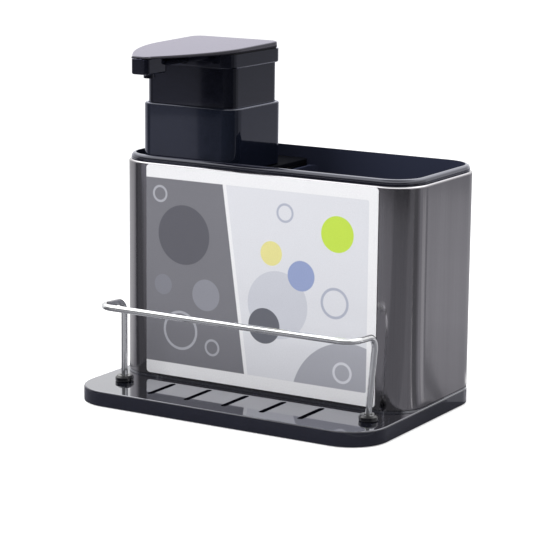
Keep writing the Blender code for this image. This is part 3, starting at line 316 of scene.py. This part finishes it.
def disc_mask(tree, place, x, z, radius, ring=0.0):
    """One inside a disc on the card, or within a width of its edge when a ring is given, nought elsewhere."""
    away = add(tree, "ShaderNodeVectorMath", {1: (x * MM, card_front * MM, z * MM)}, {0: place}, operation="DISTANCE")
    if ring > 0.0:
        centred = add(tree, "ShaderNodeMath", {1: radius * MM}, {0: away.outputs["Value"]}, operation="SUBTRACT")
        size = add(tree, "ShaderNodeMath", links={0: centred.outputs["Value"]}, operation="ABSOLUTE")
        edge, value = ring, size.outputs["Value"]
    else:
        edge, value = radius, away.outputs["Value"]
    mask = add(tree, "ShaderNodeMapRange",
               {"From Min": (edge - blur) * MM, "From Max": (edge + blur) * MM, "To Min": 1.0, "To Max": 0.0},
               {"Value": value})
    return mask.outputs["Result"]


print_ink, tree, output = new_material("card_offset_print")
place = add(tree, "ShaderNodeTexCoord").outputs["Object"]
# Board fibre of 0.6 mm, which shows a little through the coating
fibre = add(tree, "ShaderNodeTexNoise", {"Scale": 1600.0, "Detail": 3.0, "Roughness": 0.65}, {"Vector": place})
board = add(tree, "ShaderNodeMix", {"A": linear("#e1e1e5"), "B": linear("#e9e9eb")},
            {"Factor": fibre.outputs["Fac"]}, data_type="RGBA")
# Two panels with a white line 2 mm wide between them, which leans by 8 degrees
leaning = add(tree, "ShaderNodeVectorRotate", {"Angle": math.radians(8), "Center": (-12.85 * MM, 0.0, 67.4 * MM)},
              {"Vector": place}, rotation_type="Y_AXIS").outputs["Vector"]
printed = panel_mask(tree, place, -80.0, 66.0, 17.4, 117.4, 1.0)
dark_side = panel_mask(tree, leaning, -200.0, -13.9, -100.0, 250.0, 1.0)
pale_side = panel_mask(tree, leaning, -11.8, 200.0, -100.0, 250.0, 1.0)
dark_panel = add(tree, "ShaderNodeMath", links={0: printed, 1: dark_side}, operation="MULTIPLY").outputs["Value"]
pale_panel = add(tree, "ShaderNodeMath", links={0: printed, 1: pale_side}, operation="MULTIPLY").outputs["Value"]
mound = add(tree, "ShaderNodeMath", links={0: pale_panel, 1: disc_mask(tree, place, 56.0, 8.0, 34.0)},
            operation="MULTIPLY").outputs["Value"]
layers = [(pale_panel, "#d5d6dc"), (dark_panel, "#74747b"), (mound, "#a3a4ad")]
# Drops and bubbles: place across and up, radius and half the line's width, in millimetres, and nought for a disc
bubbles = [
    (-45.0, 88.0, 16.0, 0.0, "#5a5a62"), (-58.0, 60.0, 5.5, 0.0, "#7d7e87"), (-31.0, 57.0, 8.5, 0.0, "#898a93"),
    (-47.0, 36.0, 10.0, 0.7, "#a5a6ae"), (-27.0, 29.0, 4.0, 0.6, "#a5a6ae"), (-60.0, 109.0, 4.0, 0.6, "#a5a6ae"),
    (13.0, 57.0, 18.0, 0.0, "#c3c5ce"), (5.0, 45.0, 9.5, 0.0, "#62646d"), (27.0, 74.0, 8.0, 0.0, "#8e9bc2"),
    (9.0, 84.0, 6.5, 0.0, "#ddd68e"), (47.0, 62.0, 7.5, 0.7, "#a9adbd"), (17.0, 106.0, 4.5, 0.6, "#a9adbd"),
    (52.0, 26.0, 5.0, 0.7, "#cfd0d8"), (48.0, 98.0, 9.5, 0.0, "#bcd847"),
]
for x, z, radius, ring, colour in bubbles:
    layers.append((disc_mask(tree, place, x, z, radius, ring), colour))
ink = board.outputs["Result"]
for mask, colour in layers:
    ink = add(tree, "ShaderNodeMix", {"B": linear(colour)}, {"Factor": mask, "A": ink},
              data_type="RGBA").outputs["Result"]
speckle = add(tree, "ShaderNodeMapRange", {"From Min": 0.35, "From Max": 0.65, "To Min": 0.96, "To Max": 1.02},
              {"Value": fibre.outputs["Fac"]})
ink = add(tree, "ShaderNodeVectorMath", links={0: ink, 1: speckle.outputs["Result"]},
          operation="MULTIPLY").outputs[0]
bump = add(tree, "ShaderNodeBump", {"Strength": 0.2, "Distance": 0.01 * MM}, {"Height": fibre.outputs["Fac"]})
shader = add(tree, "ShaderNodeBsdfPrincipled", {"Roughness": 0.32, "IOR": 1.5},
             {"Base Color": ink, "Normal": bump.outputs["Normal"]})
tree.links.new(shader.outputs["BSDF"], output.inputs["Surface"])
softened("front_card", "card_sheet", 0.08 * MM, print_ink, "stand", "card")


# Sponge rail: a steel wire 3.4 mm thick, bent in a jig and then bright chrome plated. It stands in two black
# bosses on the deck, and push nuts of zinc-plated spring steel hold its feet from below.

chrome, tree, output = new_material("rail_bright_chrome")
place = add(tree, "ShaderNodeTexCoord").outputs["Object"]
# Drawing lines of the wire show through the plate as a ripple of about 2 mm
ripples = add(tree, "ShaderNodeTexNoise", {"Scale": 450.0, "Detail": 1.0}, {"Vector": place})
wiped = add(tree, "ShaderNodeTexNoise", {"Scale": 900.0, "Detail": 3.0}, {"Vector": place})
rough = add(tree, "ShaderNodeMapRange", {"To Min": 0.03, "To Max": 0.12}, {"Value": wiped.outputs["Fac"]})
tint = add(tree, "ShaderNodeMix", {"A": linear("#dadbde"), "B": linear("#eceded")},
           {"Factor": ripples.outputs["Fac"]}, data_type="RGBA")
bump = add(tree, "ShaderNodeBump", {"Strength": 0.4, "Distance": 0.01 * MM}, {"Height": ripples.outputs["Fac"]})
shader = add(tree, "ShaderNodeBsdfPrincipled", {"Metallic": 1.0},
             {"Base Color": tint.outputs["Result"], "Roughness": rough.outputs["Result"],
              "Normal": bump.outputs["Normal"]})
tree.links.new(shader.outputs["BSDF"], output.inputs["Surface"])


wire_radius, post_bend, corner_bend = 1.7, 6.0, 9.0
foot_z, boss_top, bar_z, side_drop = 2.1, 11.6, 53.7, 1.5
post_y, bar_y = -37.5, -62.0


def side_height(y):
    """Height of the rail's sides, which sink a little from the front bar to the posts."""
    return bar_z - side_drop * (y - bar_y) / (post_y - bar_y)


def bend(radius, start, end, steps):
    """Steps round a bend in the rail, as offsets from its middle."""
    angles = [math.radians(start + (end - start) * i / steps) for i in range(steps + 1)]
    return [(radius * math.cos(a), radius * math.sin(a)) for a in angles]


def rail_half(foot_x, top_x):
    """One foot, post, bend and front corner of the rail, in millimetres."""
    side = 1.0 if foot_x > 0 else -1.0
    points = [(foot_x, post_y, foot_z), (foot_x, post_y, boss_top)]
    for along, rise in bend(post_bend, 0, 90, 14):
        y = post_y - post_bend + along
        points.append((top_x, y, side_height(y) - post_bend + rise))
    for across, along in bend(corner_bend, 0, -90, 16):
        y = bar_y + corner_bend + along
        points.append((top_x + side * (across - corner_bend), y, side_height(y)))
    return points


curve = bpy.data.curves.new("rail_line", "CURVE")
curve.dimensions = "3D"
curve.bevel_depth = wire_radius * MM
curve.bevel_resolution = 8
curve.use_fill_caps = True
line = curve.splines.new("POLY")
route = rail_half(-72.1, -72.1) + rail_half(76.5, 79.5)[::-1]
line.points.add(len(route) - 1)
for point, (x, y, z) in zip(line.points, route):
    point.co = (x * MM, y * MM, z * MM, 1.0)
wire = bpy.data.objects.new("rail_line", curve)
bpy.context.scene.collection.objects.link(wire)
bpy.context.view_layer.update()
mesh = bpy.data.meshes.new_from_object(wire.evaluated_get(bpy.context.evaluated_depsgraph_get()))
bpy.data.objects.remove(wire)
shape = bmesh.new()
shape.from_mesh(mesh)
bmesh.ops.remove_doubles(shape, verts=shape.verts, dist=1e-6)
bmesh.ops.recalc_face_normals(shape, faces=shape.faces)
finished(shape, "rail_bent_wire", chrome, "stand", "chrome", "sponge_rail")

boss_abs = moulded_abs("boss_gloss_abs", "#121217", "#0d0d11", 0.1)
for side in ("left", "right"):
    softened(f"rail_boss_{side}", f"boss_ring_{side}", 0.3 * MM, boss_abs, "stand", "black_plastic")
    softened(f"rail_nut_{side}", f"push_nut_{side}", 0.15 * MM, zinc, "stand", "zinc")


# Soap tank: a lift-out box blow moulded in natural polypropylene, milky and a little see-through. A black lid
# is pushed in and welded round its edge, and its neck takes the pump. A rubber ring seals the neck.

natural, tree, output = new_material("tank_natural_polypropylene")
place = add(tree, "ShaderNodeTexCoord").outputs["Object"]
# Cloudy wall with patches of about 8 mm
cloud = add(tree, "ShaderNodeTexNoise", {"Scale": 120.0, "Detail": 3.0}, {"Vector": place})
skin = add(tree, "ShaderNodeTexNoise", {"Scale": 900.0, "Detail": 2.0}, {"Vector": place})
tint = add(tree, "ShaderNodeMix", {"A": linear("#e3e3dd"), "B": linear("#f0f0ec")},
           {"Factor": cloud.outputs["Fac"]}, data_type="RGBA")
rough = add(tree, "ShaderNodeMapRange", {"To Min": 0.3, "To Max": 0.42}, {"Value": skin.outputs["Fac"]})
bump = add(tree, "ShaderNodeBump", {"Strength": 0.4, "Distance": 0.02 * MM}, {"Height": skin.outputs["Fac"]})
shader = add(tree, "ShaderNodeBsdfPrincipled",
             {"IOR": 1.49, "Subsurface Weight": 0.25, "Subsurface Scale": 0.002},
             {"Base Color": tint.outputs["Result"], "Roughness": rough.outputs["Result"],
              "Normal": bump.outputs["Normal"]})
tree.links.new(shader.outputs["BSDF"], output.inputs["Surface"])

# The top 3 mm of the tank's wall is coloured near-black and dull: painted shade where it shows between the divider
# and the lid
tank_with_shade_band = natural.copy()
tank_with_shade_band.name = "tank_wall_with_painted_shade"
tree = tank_with_shade_band.node_tree
place = add(tree, "ShaderNodeTexCoord").outputs["Object"]
height = add(tree, "ShaderNodeSeparateXYZ", links={"Vector": place}).outputs["Z"]
shade_band = add(tree, "ShaderNodeMapRange", {"From Min": 117.0 * MM, "From Max": 117.2 * MM}, {"Value": height})
wall_tint = add(tree, "ShaderNodeMix", {"B": linear("#0e0f13")},
                {"Factor": shade_band.outputs["Result"], "A": tree.nodes[tint.name].outputs["Result"]},
                data_type="RGBA")
dull = add(tree, "ShaderNodeMapRange", {"To Min": 0.5, "To Max": 0.03}, {"Value": shade_band.outputs["Result"]})
wall_shader = tree.nodes[shader.name]
tree.links.new(wall_tint.outputs["Result"], wall_shader.inputs["Base Color"])
tree.links.new(dull.outputs["Result"], wall_shader.inputs["Specular IOR Level"])
softened("soap_tank", "tank_blow_moulding", 0.3 * MM, tank_with_shade_band, "tank", "natural_plastic")

# The lid is spark eroded to a dull satin, with hardly a mirror in it
lid_abs = moulded_abs("lid_satin_abs", "#121318", "#0e0f13", 0.5, coat=0.0, index=1.03)
softened("tank_lid", "lid_moulding", 0.2 * MM, lid_abs, "tank", "black_plastic")
softened("neck_gasket", "gasket_ring", 0.2 * MM, rubber, "tank", "rubber")


# Pump, fixed half: the black collar is a gloss ABS moulding with a rolled shoulder. Its deck carries the
# natural polypropylene cylinder, which hangs in the tank with its nut, cap and dip tube.

collar_abs = moulded_abs("collar_gloss_abs", "#171b23", "#12161c", 0.05, ripple=0.012, film="#e6e9ff", index=1.45)
softened("pump_collar", "collar_moulding", 0.2 * MM, collar_abs, "pump", "black_plastic")
for node, name in (("retaining_nut", "nut_moulding"), ("pump_cylinder", "cylinder_moulding"),
                   ("cylinder_cap", "cap_moulding"), ("dip_tube", "tube_extrusion")):
    softened(node, name, 0.15 * MM, natural, "pump", "natural_plastic")
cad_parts["pump_spring"].material_slots[0].material = zinc
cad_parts["inlet_ball"].material_slots[0].material = zinc


# Pump, moving half: stem and piston in natural polypropylene slide with the black head. The head is a skirt
# with a slab on it, a glued top plate that reaches over the spout, and a tip block fed by a short tube.

for node, name in (("pump_stem", "stem_extrusion"), ("piston", "piston_moulding")):
    softened(node, name, 0.12 * MM, natural, "head", "natural_plastic")
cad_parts["outlet_ball"].material_slots[0].material = zinc
head_abs = moulded_abs("head_gloss_abs", "#101117", "#0c0d11", 0.04, ripple=0.01, film="#e6e9ff")
# The plate's lavender film is a painted colour cast on its reflections
plate_abs = moulded_abs("plate_polished_abs", "#101016", "#0c0c11", 0.05, coat=0.35, ripple=0.01, film="#d8caff")
# The edges under the glued plate stay sharp
glued_height = 184.0 * MM
softened("head_body", "head_moulding", 0.2 * MM, head_abs, "head", "black_plastic", glued_height)
softened("head_plate", "plate_moulding", 0.15 * MM, plate_abs, "head", "black_plastic")

# A near-black sheet fills the seam between slab and plate, a little inside their edges: painted shade in the joint.
# Its tone varies in patches of about 3 mm
seam_shade, tree, output = new_material("plate_seam_painted_shade")
place = add(tree, "ShaderNodeTexCoord").outputs["Object"]
seam_mottle = add(tree, "ShaderNodeTexNoise", {"Scale": 300.0, "Detail": 2.0}, {"Vector": place})
tint = add(tree, "ShaderNodeMix", {"A": linear("#08080a"), "B": linear("#0e0e11")},
           {"Factor": seam_mottle.outputs["Fac"]}, data_type="RGBA")
shader = add(tree, "ShaderNodeBsdfPrincipled", {"Roughness": 0.6, "Specular IOR Level": 0.1},
             {"Base Color": tint.outputs["Result"]})
tree.links.new(shader.outputs["BSDF"], output.inputs["Surface"])
head_low, head_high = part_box("head_body")
setback, film_corner = 0.8 * MM, 7.0 * MM
film_low = (head_low.x + setback, head_low.y + setback, head_high.z - 0.05 * MM)
film_high = (head_high.x - setback, head_high.y - setback, head_high.z + 0.35 * MM)
film = block(film_low, film_high, [film_corner] * 4, 8)
finished(film, "plate_seam_painted_shade", seam_shade, "head", "black_plastic")
softened("spout_tip", "tip_moulding", 0.2 * MM, head_abs, "head", "black_plastic", glued_height)
softened("spout_tube", "spout_tube_extrusion", 0.0, head_abs, "head", "natural_plastic")


# Studio: a pale floor, a white room, a large soft light at the front left and one above, and the camera where
# the photograph was taken from, looking down a little on the front right corner.

def ray_kinds(tree):
    """One for rays in mirrors and glass, and one for these and the camera's rays together."""
    seen = add(tree, "ShaderNodeLightPath")
    mirror = add(tree, "ShaderNodeMath",
                 links={0: seen.outputs["Is Glossy Ray"], 1: seen.outputs["Is Transmission Ray"]},
                 operation="MAXIMUM").outputs["Value"]
    shown = add(tree, "ShaderNodeMath", links={0: mirror, 1: seen.outputs["Is Camera Ray"]},
                operation="MAXIMUM").outputs["Value"]
    return mirror, shown


floor_paint, tree, output = new_material("floor_pale_paint")
place = add(tree, "ShaderNodeTexCoord").outputs["Object"]
mottle = add(tree, "ShaderNodeTexNoise", {"Scale": 30.0, "Detail": 2.0}, {"Vector": place})
tint = add(tree, "ShaderNodeMix", {"A": linear("#f2f2f2"), "B": linear("#f6f6f6")},
           {"Factor": mottle.outputs["Fac"]}, data_type="RGBA")
paint = add(tree, "ShaderNodeBsdfPrincipled", {"Roughness": 0.9, "Specular IOR Level": 0.1},
            {"Base Color": tint.outputs["Result"]})
# The floor's own white ends under the tray, so that what shows through the drain slots lies in shadow
flat = add(tree, "ShaderNodeVectorRotate", {"Angle": math.radians(-90)}, {"Vector": place}, rotation_type="X_AXIS")
under = panel_mask(tree, flat.outputs["Vector"], -86.0, 86.0, -61.0, 61.0, 18.0)
strength = add(tree, "ShaderNodeMapRange", {"To Min": 0.5, "To Max": 0.0}, {"Value": under})
glow = add(tree, "ShaderNodeEmission", {"Color": linear("#ffffff")}, {"Strength": strength.outputs["Result"]})
both = add(tree, "ShaderNodeAddShader", links={0: paint.outputs["BSDF"], 1: glow.outputs["Emission"]})
choice = add(tree, "ShaderNodeMixShader",
             links={0: ray_kinds(tree)[1], 1: paint.outputs["BSDF"], 2: both.outputs["Shader"]})
tree.links.new(choice.outputs["Shader"], output.inputs["Surface"])
shape = bmesh.new()
bmesh.ops.create_circle(shape, cap_ends=True, segments=96, radius=6.0)
mesh = bpy.data.meshes.new("floor")
shape.to_mesh(mesh)
shape.free()
mesh.materials.append(floor_paint)
floor = bpy.data.objects.new("floor", mesh)
floor.location = (0.0, 0.0, -0.0002)
bpy.context.scene.collection.objects.link(floor)

# Grey mats lie round the object, seen only in reflections: the darker side of a room, which gives gloss black
# and steel their dark stripes. Each is part of a ring on the floor, given by its centre in millimetres, its two
# directions in degrees, its inner and outer reach in metres and its grey. Later ones lie over earlier ones.
# Those on the right turn about the shell's front right corner. The last four turn about a point far behind, so
# that their edges stand upright in the pump's flat fronts.
mats = [
    (0, 0, 0, 360, 0.001, 0.125, "#808085"), (0, 0, 50, 121, 0.125, 2.4, "#bcbcc0"),
    (0, 0, 121, 183, 0.125, 2.4, "#d6d6d8"), (0, 0, 183, 189, 0.125, 2.4, "#c8c8ca"),
    (0, 0, 189, 195, 0.125, 2.4, "#a6a6aa"), (0, 0, 195, 203, 0.125, 2.4, "#505054"),
    (0, 0, 203, 222, 0.125, 2.4, "#646468"), (0, 0, 222, 229, 0.125, 2.4, "#78787c"),
    (0, 0, 229, 233, 0.125, 2.4, "#8e8e92"), (0, 0, 233, 240, 0.125, 2.4, "#9a9a9e"),
    (0, 0, 240, 300, 0.125, 0.74, "#9a9a9e"), (0, 0, 300, 340, 0.125, 0.74, "#838387"),
    (0, 0, 340, 357, 0.125, 0.74, "#929296"), (70, -1, -3, 14, 0.055, 2.4, "#78787b"),
    (70, -1, 14, 20, 0.055, 2.4, "#95959a"), (70, -1, 20, 32, 0.055, 2.4, "#b6b6ba"),
    (70, -1, 32, 46, 0.055, 0.74, "#dcdcde"), (70, -1, 46, 52, 0.055, 0.74, "#b0b0b4"),
    (70, -1, 52, 57, 0.055, 0.74, "#98989c"), (70, -1, 57, 75, 0.055, 0.74, "#c4c4c8"),
    (70, -1, 32, 75, 0.74, 2.4, "#adadb2"), (0, 0, 240, 345, 0.74, 2.4, "#38383c"),
    (0, 0, 345, 357, 0.74, 2.4, "#808084"), (588, 964, 230, 237.44, 1.93, 2.4, "#9c9ca6"),
    (588, 964, 237.44, 239, 1.93, 2.4, "#505056"), (588, 964, 230, 237.44, 2.4, 3.4, "#787880"),
    (588, 964, 237.44, 239, 2.4, 3.4, "#202024"),
]
lowest_mat, mat_thickness = 0.1 * MM, 0.01 * MM
for number, (centre_x, centre_y, start, end, inner, outer, grey) in enumerate(mats):
    shape = bmesh.new()
    first = Matrix.Rotation(math.radians(start), 4, "Z")
    level = lowest_mat + number * mat_thickness
    line = [shape.verts.new(first @ Vector((reach, 0.0, level))) for reach in (inner, outer)]
    edge = shape.edges.new(line)
    bmesh.ops.spin(shape, geom=[edge, *line], axis=(0.0, 0.0, 1.0), cent=(0.0, 0.0, 0.0),
                   angle=math.radians(end - start), steps=max(8, int((end - start) / 4)), use_merge=False,
                   use_duplicate=False)
    bmesh.ops.translate(shape, vec=(centre_x * MM, centre_y * MM, 0.0), verts=shape.verts)
    mesh = bpy.data.meshes.new(f"mat_{number}")
    shape.to_mesh(mesh)
    shape.free()
    felt, tree, output = new_material(f"mat_felt_{number}")
    place = add(tree, "ShaderNodeTexCoord").outputs["Object"]
    nap = add(tree, "ShaderNodeTexNoise", {"Scale": 25.0, "Detail": 2.0}, {"Vector": place})
    shade = add(tree, "ShaderNodeMapRange", {"To Min": 0.92, "To Max": 1.08}, {"Value": nap.outputs["Fac"]})
    tint = add(tree, "ShaderNodeVectorMath", {0: linear(grey)[:3]}, {1: shade.outputs["Result"]},
               operation="MULTIPLY")
    cloth = add(tree, "ShaderNodeBsdfDiffuse", links={"Color": tint.outputs[0]})
    tree.links.new(cloth.outputs["BSDF"], output.inputs["Surface"])
    mesh.materials.append(felt)
    mat = bpy.data.objects.new(f"mat_{number}", mesh)
    mat.visible_camera = False
    mat.visible_diffuse = False
    mat.visible_shadow = False
    bpy.context.scene.collection.objects.link(mat)

room = bpy.data.worlds.new("room")
bpy.context.scene.world = room
room.use_nodes = True
tree = room.node_tree
tree.nodes.clear()
output = tree.nodes.new("ShaderNodeOutputWorld")
mirror, shown = ray_kinds(tree)
soft = add(tree, "ShaderNodeBackground", {"Color": linear("#ffffff"), "Strength": 0.55})
# Overhead the room is brighter in mirrors, as under a ceiling softbox: rounded edges catch it
way = add(tree, "ShaderNodeTexCoord").outputs["Generated"]
heading = add(tree, "ShaderNodeSeparateXYZ", links={"Vector": way})
rise, depth = heading.outputs["Z"], heading.outputs["Y"]
ceiling = add(tree, "ShaderNodeMapRange",
              {"From Min": 0.35, "From Max": 0.7, "To Min": 1.0, "To Max": 2.6}, {"Value": rise})
zenith = add(tree, "ShaderNodeMapRange",
             {"From Min": 0.8, "From Max": 0.95, "To Min": 1.0, "To Max": 0.3}, {"Value": rise})
# The front wall is dark up to about 20 degrees
front = add(tree, "ShaderNodeMapRange",
            {"From Min": -0.5, "From Max": -0.2, "To Min": 0.85, "To Max": 0.0}, {"Value": depth})
low = add(tree, "ShaderNodeMapRange",
          {"From Min": 0.3, "From Max": 0.45, "To Min": 1.0, "To Max": 0.0}, {"Value": rise})
wall = add(tree, "ShaderNodeMath", links={0: front.outputs["Result"], 1: low.outputs["Result"]},
           operation="MULTIPLY")
open_share = add(tree, "ShaderNodeMath", {0: 1.0}, {1: wall.outputs["Value"]}, operation="SUBTRACT")
shaded = add(tree, "ShaderNodeMath", links={0: ceiling.outputs["Result"], 1: open_share.outputs["Value"]},
             operation="MULTIPLY")
room_light = add(tree, "ShaderNodeMath", links={0: shaded.outputs["Value"], 1: zenith.outputs["Result"]},
                 operation="MULTIPLY")
bright = add(tree, "ShaderNodeMix", {"A": 1.0}, {"Factor": mirror, "B": room_light.outputs["Value"]})
white = add(tree, "ShaderNodeBackground", {"Color": linear("#ffffff")}, {"Strength": bright.outputs["Result"]})
choice = add(tree, "ShaderNodeMixShader",
             links={0: shown, 1: soft.outputs["Background"], 2: white.outputs["Background"]})
tree.links.new(choice.outputs["Shader"], output.inputs["Surface"])


def soft_light(name, spot, size, power):
    """A square soft light that looks at the middle of the object and doesn't show in mirrors."""
    lamp = bpy.data.lights.new(name, "AREA")
    lamp.shape = "SQUARE"
    lamp.size = size
    lamp.energy = power
    holder = bpy.data.objects.new(name, lamp)
    holder.location = spot
    holder.rotation_euler = (Vector((0.0, 0.0, 0.08)) - Vector(spot)).to_track_quat("-Z", "Y").to_euler()
    holder.visible_glossy = False
    bpy.context.scene.collection.objects.link(holder)


soft_light("front_left_light", (-0.7, -1.3, 1.0), 0.9, 16.0)
soft_light("top_light", (0.1, 0.1, 1.6), 1.2, 12.0)

# The camera's turn round the object, its downward tilt and its lean to the side
turn, tilt, lean = math.radians(30.836), math.radians(11.411), math.radians(0.56)
ahead = Vector((-math.sin(turn) * math.cos(tilt), math.cos(turn) * math.cos(tilt), -math.sin(tilt)))
across = Vector((math.cos(turn), math.sin(turn), 0.0))
above = across.cross(ahead)
right = across * math.cos(lean) + above * math.sin(lean)
up = above * math.cos(lean) - across * math.sin(lean)
camera_data = bpy.data.cameras.new("camera")
camera_data.sensor_width = 36.0
camera_data.lens = 150.5
camera_data.shift_x = 0.0011
camera_data.shift_y = 0.0003
camera_data.clip_start = 0.01
camera = bpy.data.objects.new("camera", camera_data)
stand_point = Matrix.Translation((0.58762, -0.99567, 0.30573))
camera.matrix_world = stand_point @ Matrix((right, up, -ahead)).transposed().to_4x4()
bpy.context.scene.collection.objects.link(camera)
bpy.context.scene.camera = camera
bpy.context.scene.view_settings.view_transform = "Standard"
